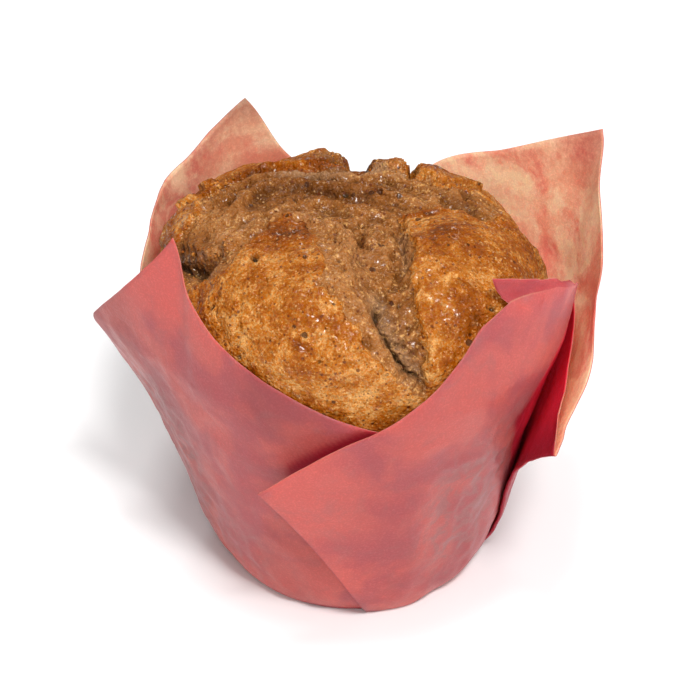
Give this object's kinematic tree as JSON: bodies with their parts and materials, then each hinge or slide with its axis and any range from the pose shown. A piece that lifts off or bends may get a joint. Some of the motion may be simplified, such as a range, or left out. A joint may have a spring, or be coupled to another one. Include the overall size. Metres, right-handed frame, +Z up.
{
  "type": "muffin",
  "caption": "Spiced muffin with a cracked, domed crust, in a folded tulip paper case with pointed petals.",
  "frame": {"origin": "centre of the case's flat underside", "axes": "+Z up through the dome; -Y is the front, where two petals cross low over the muffin"},
  "size_m": [0.1068, 0.0901, 0.0901],
  "materials": {
    "crust": "baked crumb with a glossy, browned crust",
    "paper": "matt greaseproof paper, printed on the outside"
  },
  "bodies": {
    "root": {"muffin": "crust", "paper_case": "paper"}
  },
  "joints": []
}
